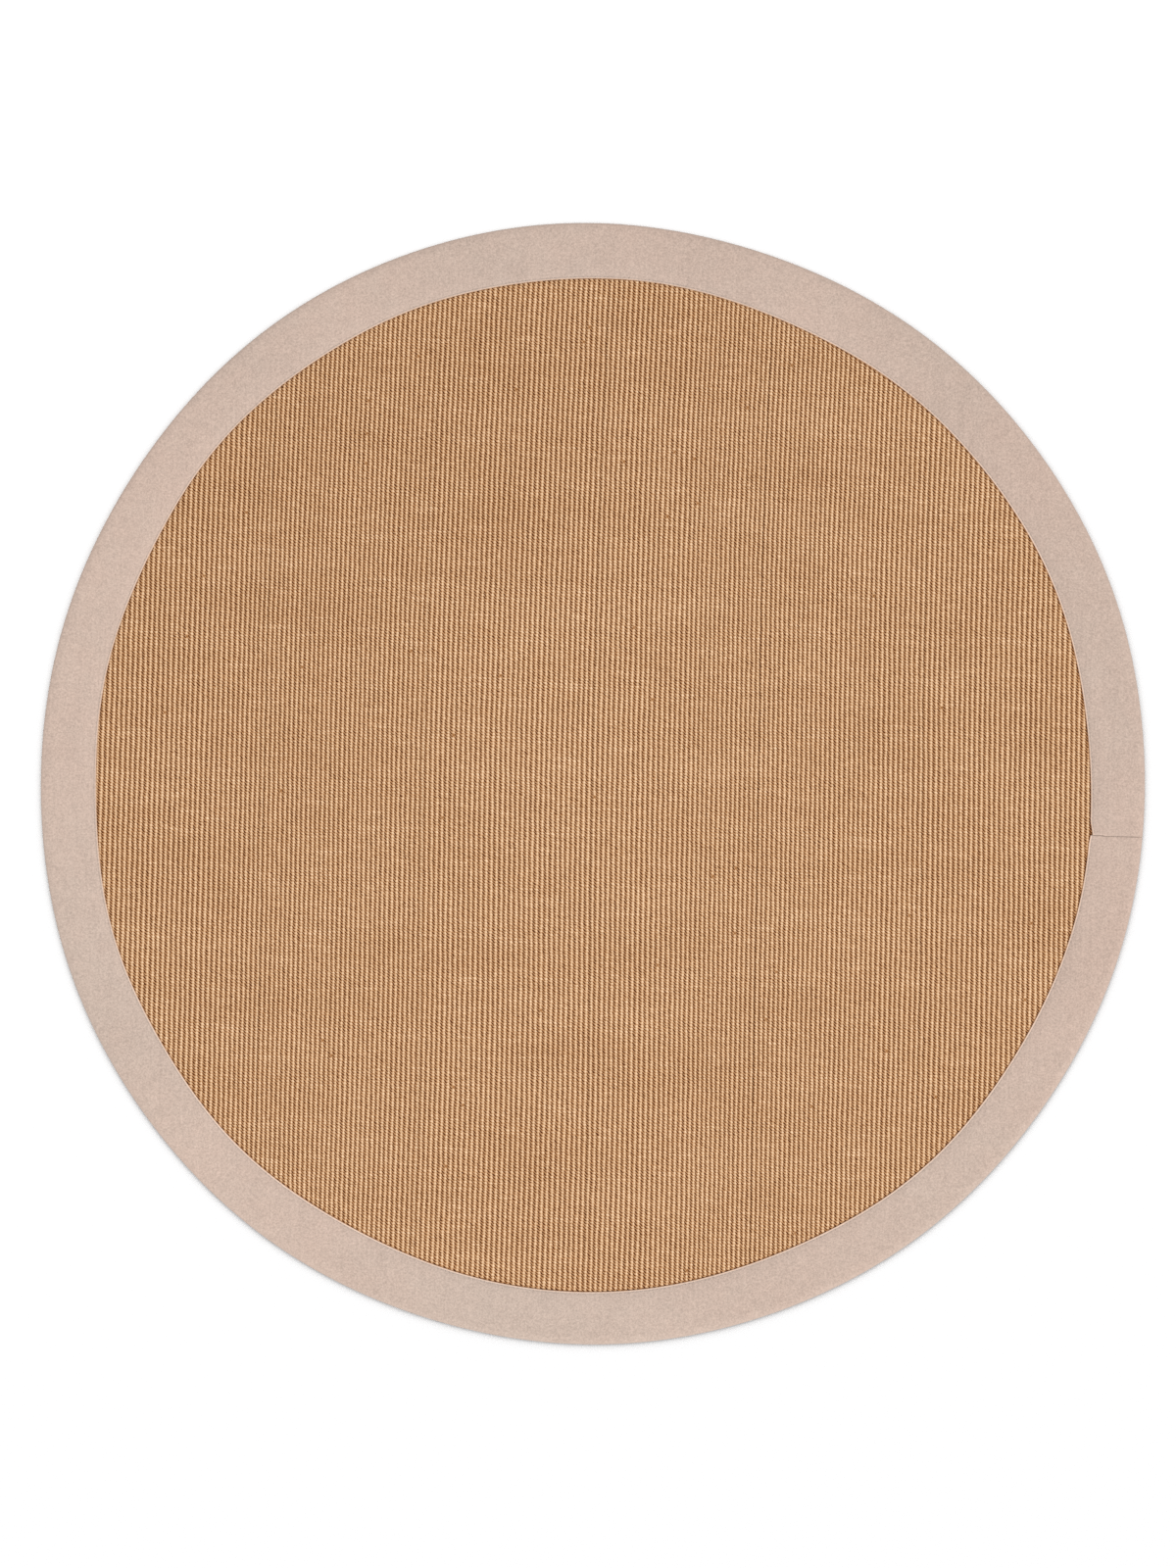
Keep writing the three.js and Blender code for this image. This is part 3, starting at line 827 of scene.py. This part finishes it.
def weave_map(rib, pick, rim):
    """The face's cells in columns side by side, each a length of the face, with skirt and bottom below."""
    low, high = pick.min(), pick.max() + 0.001
    length = (high - low) / MAP_COLUMNS
    column = np.floor((pick.mean(axis=1, keepdims=True) - low) / length)
    across = (column + off_edges(share_between(rib))) / MAP_COLUMNS
    up_column = (pick - low - column * length + MAP_SLACK) / (length + 2 * MAP_SLACK)
    up = MAP_FACE_LOW + MAP_FACE_HEIGHT * up_column
    here = np.arange(len(rim)) / len(rim)
    skirt = square_corners(here, here + 1 / len(rim), here * 0 + MAP_SKIRT_LOW, here * 0 + MAP_SKIRT_HIGH)
    bottom_up = MAP_BOTTOM_LOW + MAP_BOTTOM_HEIGHT * share_between(rim[::-1, 1])
    bottom = np.stack([share_between(rim[::-1, 0]), bottom_up], axis=1)
    return [np.stack([across, up], axis=2), skirt, bottom]


def rim_edges(quads):
    """The directed edges of the faces that no other face shares."""
    edges = np.concatenate([quads[:, [0, 1]], quads[:, [1, 2]], quads[:, [2, 3]], quads[:, [3, 0]]])
    key = np.sort(edges, axis=1)
    _, first, counts = np.unique(key, axis=0, return_index=True, return_counts=True)
    return edges[first[counts == 1]]


def ordered_loop(edges):
    """The rim's points in order, from its directed edges."""
    following = dict(edges.tolist())
    start = int(edges[0, 0])
    loop, point = [start], following[start]
    while point != start:
        loop.append(point)
        point = following[point]
    return np.array(loop)


# Base of the mat, under the face's weave, with the rim that the tape is folded round. The rings go from its
# underside round its edge to its top. Columns: distance from the tape's inner edge or outer one, and height

RINGS_FROM_INNER = (
    (-6.0 * MM, 0.0),
    (-2.0 * MM, 0.25 * MM),
    (-0.4 * MM, 1.05 * MM),
    (1.0 * MM, RIM_BOTTOM),
)
RINGS_FROM_OUTER = (
    (-4.2 * MM, RIM_BOTTOM),
    (-2.3 * MM, 1.8 * MM),
    (-1.7 * MM, 2.85 * MM),
    (-2.4 * MM, 3.8 * MM),
    (-4.2 * MM, RIM_TOP),
)
TOP_RINGS_FROM_INNER = (
    (5.2 * MM, RIM_TOP),
    (5.0 * MM, BASE_TOP),
)
BASE_STATIONS = 360

# The base's flat map: its underside in a square, the edge in strips above and the top squeezed beside
MAP_MARGIN = 0.005
MAP_UNDERSIDE = 0.93
MAP_EDGE_LOW, MAP_EDGE_STEP, MAP_EDGE_WIDTH = 0.925, 0.005, 0.99
MAP_TOP_SCALE, MAP_TOP_PLACE = (0.05, 0.9), (0.945, 0.0)


def base_piece(material):
    count = BASE_STATIONS
    degrees = np.arange(count) * 360 / count
    cosine, sine = np.cos(np.radians(degrees)), np.sin(np.radians(degrees))
    inner, outer = inner_radius(degrees, MAT_NOTCH), outer_radius(degrees)
    rings = []
    tables = (inner, RINGS_FROM_INNER), (outer, RINGS_FROM_OUTER), (inner, TOP_RINGS_FROM_INNER)
    for tape_edge, table in tables:
        for offset, height in table:
            radius = tape_edge + offset
            ring = [radius * cosine + MIDDLE_X, radius * sine + MIDDLE_Y, np.full_like(radius, height)]
            rings.append(np.stack(ring, axis=1))
    here = np.arange(count)
    following = np.roll(here, -1)
    side = np.stack([here, following, following + count, here + count], axis=1)
    sides = np.concatenate([side + k * count for k in range(len(rings) - 1)])
    bottom = here[::-1][None, :]
    top = ((len(rings) - 1) * count + here)[None, :]
    points = np.concatenate(rings)
    piece = mesh_piece("woven_mat", points, [sides, bottom, top], [True, False, False], material)

    under_rings = len(RINGS_FROM_INNER)
    flat_places = [share_between(points[:, 0]), share_between(points[:, 1])]
    flat = MAP_MARGIN + MAP_UNDERSIDE * np.stack(flat_places, axis=1)
    corners = [[(0, k), (1, k), (1, k + 1), (0, k + 1)] for k in range(under_rings, len(rings) - 1)]
    edge = np.array(corners, float)[:, None] + np.stack([here, 0 * here], axis=1)[None, :, None]
    edge = edge * (MAP_EDGE_WIDTH / count, MAP_EDGE_STEP) + (MAP_MARGIN, MAP_EDGE_LOW)
    squeezed_top = flat[top] * MAP_TOP_SCALE + MAP_TOP_PLACE
    store_map(piece, [flat[sides[:under_rings * count]], edge, flat[bottom], squeezed_top])
    return piece


# Border tape

# Sizes of its section: the fold round the mat's edge, the rolled hem, the lower inner edge and the sewing
TAPE_THICKNESS = 1.0 * MM
FOLD_DEPTH = 3.2 * MM
FOLD_TOP = 5.7 * MM
HEM_RADIUS = 0.8 * MM
HEM_BOTTOM = 5.2 * MM
LOWER_EDGE_RADIUS = 0.5 * MM
STITCH_INSET = 2.7 * MM
STITCH_COUNT = 775
PUCKER_SIZE = 0.14 * MM
TAPE_STEPS = 600

# The tape's upper side from the outer fold to the hem. Columns: share of the way from the inner edge to the
# outer one, inset added to it in mm, height in mm, and how much of the tape's puckers it takes
UPPER_SIDE = (
    (0.85, 0.0, 5.95, 0.6),
    (0.65, 0.0, 6.15, 1.0),
    (0.45, 0.0, 6.25, 1.0),
    (0.25, 0.0, 6.25, 1.0),
    (0.0, 13.0, 6.2, 1.0),
    (0.0, 9.0, 6.35, 0.8),
    (0.0, 6.4, 6.6, 0.5),
    (0.0, 4.3, 6.62, 0.3),
    (0.0, 3.1, 6.34, 0.1),
    (0.0, 2.4, 6.34, 0.1),
    (0.0, 1.7, 6.74, 0.2),
    (0.0, 1.1, 6.84, 0.2),
)
UPPER_SIDE_ABOVE = 4.5 * MM

# The first end is turned under, so it lies higher. Columns: distance from the join in mm, share of the rise.
# The last end lies flat, and its stations come closer together towards the join, in mm
TURNED_RISE = 0.8 * MM
TURNED_END = (
    (0.05, 0.0),
    (0.25, 0.55),
    (0.6, 0.85),
    (1.2, 1.0),
    (4.0, 1.0),
    (8.0, 1.0),
    (11.0, 0.8),
    (13.0, 0.3),
    (15.0, 0.0),
)
LAST_END = (1.2, 0.5, 0.15)
END_GAP = 0.3 * MM
EVEN_STEPS_FROM = 20 * MM

# The join isn't quite square to the tape: it slants, with a small step part of the way across, and closes
# towards the outer edge. Places are shares of the tape's width, and the reach is in degrees
JOIN_SLANT = 5.2 * MM
JOIN_PIVOT = 0.3
JOIN_STEP = 1.0 * MM
JOIN_STEP_ENDS = (0.22, 0.26)
JOIN_REACH = 1.0
JOIN_CLOSES = 0.14 * MM
JOIN_CLOSES_ENDS = (0.78, 0.88)

# The tape's flat map: its surface in rows, with the hidden inner side squeezed, and its two ends above
MAP_ROWS = 5
MAP_ROWS_HEIGHT = 0.97
HIDDEN_STEPS = 5
HIDDEN_SQUEEZE = 0.1
MAP_END_WIDTH, MAP_END_LOW, MAP_END_HEIGHT = 0.48, 0.975, 0.02


def tape_section():
    """The tape's section, once round. Each point has a share of the way from the inner edge to the outer
    one, an inset added to that, a height, and how much of the tape's puckers it takes."""
    points = []

    def arc(share, centre, middle, reach, half_height, start, end, count):
        for angle in np.radians(np.linspace(start, end, count)):
            inset, height = centre + reach * math.cos(angle), middle + half_height * math.sin(angle)
            points.append((share, inset, height, 0.0))

    arc(0, LOWER_EDGE_RADIUS, LOWER_EDGE_RADIUS, LOWER_EDGE_RADIUS, LOWER_EDGE_RADIUS, 180, 270, 3)
    points.append((0.5, 0.0, 0.0, 0.0))
    arc(1, -FOLD_DEPTH, FOLD_TOP / 2, FOLD_DEPTH, FOLD_TOP / 2, -90, 90, 9)
    for share, inset, height, loose in UPPER_SIDE:
        points.append((share, inset * MM, height * MM, loose))
    arc(0, HEM_RADIUS, HEM_BOTTOM + HEM_RADIUS, HEM_RADIUS, HEM_RADIUS, 90, 270, 6)
    arc(1, -FOLD_DEPTH, FOLD_TOP / 2, FOLD_DEPTH - TAPE_THICKNESS, FOLD_TOP / 2 - TAPE_THICKNESS, 90, -90, 4)
    points.append((0.0, LOWER_EDGE_RADIUS, TAPE_THICKNESS, 0.0))
    return np.array(points)


def tape_stations():
    """Distances along the tape's inner edge, in degrees from the join, and the rise of the turned end."""
    metres_a_degree = math.radians(INNER_RADIUS)
    end, rise = np.array(TURNED_END).T
    other = np.array(LAST_END) * MM
    gap = END_GAP / 2 / metres_a_degree
    steps = np.arange(1, TAPE_STEPS) * 360 / TAPE_STEPS
    steps = steps[steps * metres_a_degree > EVEN_STEPS_FROM]
    degrees = np.concatenate([end * MM / metres_a_degree + gap, steps, 360 - gap - other / metres_a_degree])
    return degrees, np.concatenate([rise, np.zeros(len(steps) + len(other))])


def tape_piece(material):
    section = tape_section()
    turn, rise = tape_stations()
    share, inset, height, loose = (section[None, :, k] for k in range(4))
    degrees = JOIN_ANGLE + turn[:, None]
    inner, outer = inner_radius(degrees), outer_radius(degrees)
    radius = inner + (outer - inner) * share + inset
    across = (radius - inner) / (outer - inner)
    length = np.radians(turn[:, None]) * OUTER_RADIUS + 0 * radius
    puckers = PUCKER_SIZE * loose * unevenness(length, radius, TAPE_PUCKERS)
    z = height + puckers + TURNED_RISE * rise[:, None] * (height > UPPER_SIDE_ABOVE) * (loose > 0)
    slant = JOIN_SLANT * (across - JOIN_PIVOT) - JOIN_STEP * smoothstep(*JOIN_STEP_ENDS, across)
    closed = np.where(turn < 180, -1, 1)[:, None] * JOIN_CLOSES * smoothstep(*JOIN_CLOSES_ENDS, across)
    near_join = np.exp(-np.minimum(turn, 360 - turn)[:, None] / JOIN_REACH)
    angle = np.radians(degrees) + (slant + closed) * near_join / radius
    x = radius * np.cos(angle) + MIDDLE_X
    y = radius * np.sin(angle) + MIDDLE_Y
    count, size = radius.shape
    around = np.arange(size)
    first = np.arange(count - 1)[:, None] * size + around[None, :]
    following = np.arange(count - 1)[:, None] * size + (around[None, :] + 1) % size
    sides = np.stack([first, first + size, following + size, following], axis=-1).reshape(-1, 4)
    start = around[None, :]
    end = ((count - 1) * size + around)[::-1][None, :]
    points = np.stack([x, y, z], axis=-1).reshape(-1, 3)
    piece = mesh_piece("cotton_border", points, [sides, start, end], [True, False, False], material)
    store_values(piece, "tape_place", np.stack([length, radius - inner, across], axis=-1).reshape(-1, 3))
    store_map(piece, tape_map(turn, radius[0], z[0]))
    return piece


def tape_map(turn, radius, z):
    """The tape's surface in rows, each row a length of the tape, and its two ends."""
    steps = np.hypot(np.roll(radius, -1) - radius, np.roll(z, -1) - z)
    steps[-HIDDEN_STEPS:] *= HIDDEN_SQUEEZE
    around = np.concatenate([[0], np.cumsum(steps)]) / steps.sum()
    degrees_a_row = 360 / MAP_ROWS
    row = np.floor((turn[:-1] + turn[1:]) / 2 / degrees_a_row)
    start, end = (off_edges(side / degrees_a_row - row) for side in (turn[:-1], turn[1:]))
    across = np.stack([start, end, end, start], axis=1)[:, None, :]
    up = np.stack([around[:-1], around[:-1], around[1:], around[1:]], axis=1)[None, :, :]
    up = MAP_ROWS_HEIGHT * (row[:, None, None] + off_edges(up)) / MAP_ROWS
    sides = np.stack(np.broadcast_arrays(across, up), axis=-1)
    end_up = MAP_END_LOW + MAP_END_HEIGHT * share_between(z)
    end = np.stack([MAP_END_WIDTH * share_between(radius), end_up], axis=1)
    return [sides, end, end[::-1] + (0.5, 0.0)]


# Sewing through the tape, one line of stitches near its inner edge

STITCH_SEED = 41
STITCH_LENGTH = 4.3 * MM
STITCH_RINGS = 3
STITCH_STRAY = 0.12 * MM
STITCH_TILT = 0.06
THREAD_RADIUS = 0.32 * MM
THREAD_END_SHARE = 0.75
BOW_MIDDLE = 0.43
TOP_STITCH_HEIGHT, TOP_STITCH_BOW = 6.42 * MM, 0.35 * MM
UNDER_STITCH_HEIGHT, UNDER_STITCH_BOW = 0.32 * MM, 0.0


def stitch_line(name, material, height, bow, sides):
    """Many small stitches in one mesh. Each is a short tube, bowed up, whose ends go into the tape."""
    count, rings = STITCH_COUNT, STITCH_RINGS
    rng = np.random.default_rng(STITCH_SEED)
    along = np.linspace(-0.5, 0.5, rings)
    turn = np.radians(np.linspace(0, 360, sides, endpoint=False))
    middle = JOIN_ANGLE + 360 * (np.arange(count) + 0.5) / count
    radius = inner_radius(middle) + STITCH_INSET + rng.normal(0, STITCH_STRAY, count)
    tilt = rng.normal(0, STITCH_TILT, count)
    run = along[None, :, None] * STITCH_LENGTH
    arch = (1 - (2 * along) ** 2)[None, :, None]
    thick = THREAD_RADIUS * (THREAD_END_SHARE + (1 - THREAD_END_SHARE) * arch)
    out = radius[:, None, None] + run * tilt[:, None, None] + thick * np.cos(turn)[None, None, :]
    angle = np.radians(middle)[:, None, None] + run / (INNER_RADIUS + STITCH_INSET)
    z = height + bow * (arch - BOW_MIDDLE) + thick * np.sin(turn)[None, None, :]
    z = np.broadcast_to(z, out.shape)
    x = out * np.cos(angle) + MIDDLE_X
    y = out * np.sin(angle) + MIDDLE_Y
    points = np.stack([x, y, z], axis=-1).reshape(-1, 3)
    start = (np.arange(count) * rings * sides)[:, None, None]
    ring = (np.arange(rings - 1) * sides)[None, :, None]
    around = np.arange(sides)
    here = start + ring + around[None, None, :]
    beside = start + ring + (around[None, None, :] + 1) % sides
    tubes = np.stack([here, here + sides, beside + sides, beside], axis=-1).reshape(-1, 4)
    caps = start[:, :, 0] + around[None, :]
    ends = start[:, :, 0] + (rings - 1) * sides + around[None, ::-1]
    return mesh_piece(name, points, [tubes, caps, ends], [True, False, False], material)


# Stage: floor, light and camera

FLOOR_COLOUR = (187.2, 186.6, 186.0)
FLOOR_HALF = 40.0
FLOOR_LEVEL = -0.3 * MM
ROOM_COLOUR = (0.97, 0.985, 1.0, 1.0)

# The rug's own lamp, and the floor's own lamps, low round the top, left and right of the picture, which give
# the contact shadow round the rug. Columns: name, place, size and power
RUG_LAMP = ("key_light", (3.4, -4.8, 11.2), 6.4, 660)
FLOOR_LAMPS = (
    ("floor_lamp_top", (0.0, 16.2, 14.2), 21.0, 4320),
    ("floor_lamp_left", (-16.2, 2.0, 14.2), 21.0, 2700),
    ("floor_lamp_right", (16.2, 2.0, 14.2), 21.0, 2580),
)


def stage():
    s = Shader("pale_floor")
    s.finish(colour(*FLOOR_COLOUR), 0.95, 0.0)
    half, level = FLOOR_HALF, FLOOR_LEVEL
    corners = [(-half, -half, level), (half, -half, level), (half, half, level), (-half, half, level)]
    plane = mesh_piece("floor", corners, [np.array([[0, 1, 2, 3]])], [False], s.material)
    return plane


def area_light(name, place, size, power):
    """A round lamp that points at the origin."""
    light = bpy.data.lights.new(name, "AREA")
    light.shape = "DISK"
    light.size = size
    light.energy = power
    lamp = bpy.data.objects.new(name, light)
    lamp.location = place
    lamp.rotation_mode = "QUATERNION"
    lamp.rotation_quaternion = Vector(-np.array(place)).to_track_quat("-Z", "Y")
    bpy.context.scene.collection.objects.link(lamp)
    return lamp


def light_only(lamp, pieces):
    lit = bpy.data.collections.new(f"lit_by_{lamp.name}")
    for piece in pieces:
        lit.objects.link(piece)
    lamp.light_linking.receiver_collection = lit


def lighting(floor, pieces):
    world = bpy.data.worlds.new("soft_room")
    world.use_nodes = True
    background = world.node_tree.nodes["Background"]
    background.inputs["Color"].default_value = ROOM_COLOUR
    background.inputs["Strength"].default_value = 1.0
    world.cycles.sampling_method = "NONE"
    bpy.context.scene.world = world
    light_only(area_light(*RUG_LAMP), pieces)
    for lamp in FLOOR_LAMPS:
        light_only(area_light(*lamp), [floor])
    bpy.context.scene.view_settings.view_transform = "Standard"
    # A loop of the yarn is hardly larger than a pixel, so the picture isn't smoothed afterwards
    bpy.context.scene.cycles.use_denoising = False


def camera():
    lens = bpy.data.cameras.new("camera")
    lens.sensor_fit = "AUTO"
    lens.sensor_width = SENSOR
    lens.lens = SENSOR * CAMERA_HEIGHT / (PICTURE_HEIGHT * PIXEL)
    lens.clip_end = 100
    view = bpy.data.objects.new("camera", lens)
    right = (RUG_MIDDLE_PIXEL[0] - PICTURE_WIDTH / 2) * PIXEL
    down = (RUG_MIDDLE_PIXEL[1] - PICTURE_HEIGHT / 2) * PIXEL
    view.location = (MIDDLE_X - right, MIDDLE_Y + down, CAMERA_HEIGHT)
    bpy.context.scene.collection.objects.link(view)
    bpy.context.scene.camera = view


camera()
floor = stage()

sisal = sisal_material()
cotton = cotton_material()
thread = thread_material()

mat = base_piece(back_material())
weave = weave_pieces(sisal)
border = tape_piece(cotton)
top_stitches = stitch_line("stitches_top", thread, TOP_STITCH_HEIGHT, TOP_STITCH_BOW, sides=4)
under_stitches = stitch_line("stitches_under", thread, UNDER_STITCH_HEIGHT, UNDER_STITCH_BOW, sides=3)

for piece in (mat, *weave):
    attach(piece, "root")
for piece in (border, top_stitches, under_stitches):
    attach(piece, "root")
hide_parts("sisal_mat")
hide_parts("border_tape")

lighting(floor, [mat, *weave, border, top_stitches, under_stitches])
